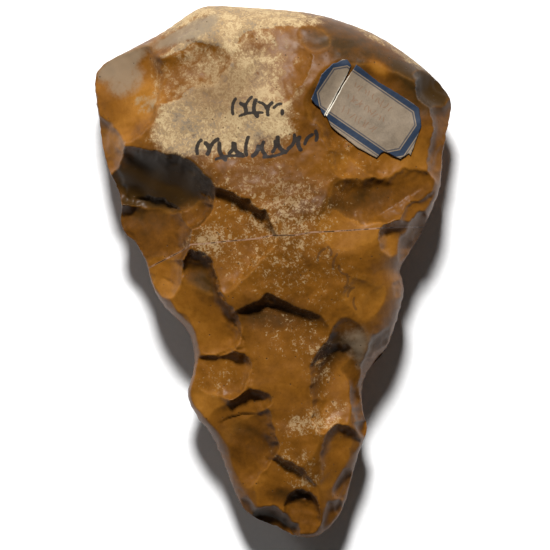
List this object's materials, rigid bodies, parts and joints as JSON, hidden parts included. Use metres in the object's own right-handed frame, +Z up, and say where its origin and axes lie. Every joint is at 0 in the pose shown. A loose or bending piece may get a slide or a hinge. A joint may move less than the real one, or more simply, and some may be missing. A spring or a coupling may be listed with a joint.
{
  "type": "hand axe",
  "caption": "Pointed flint hand axe with a broad blunt butt, flaked on both faces, with glossy ochre patina and an old paper label near the butt.",
  "frame": {"origin": "on the surface the axe lies on, under the middle of its plan", "axes": "+Y towards the broad butt and -Y towards the point, +Z up out of the upper face, which carries the label"},
  "size_m": [0.1188, 0.1773, 0.0485],
  "materials": {
    "stone": "glossy ochre patina in the flake scars, dull speckled buff cortex near the butt",
    "paper_label": "aged grey-buff paper with a dark blue border, matt"
  },
  "bodies": {
    "root": {"stone": "stone", "paper_label": "paper_label"}
  },
  "joints": []
}
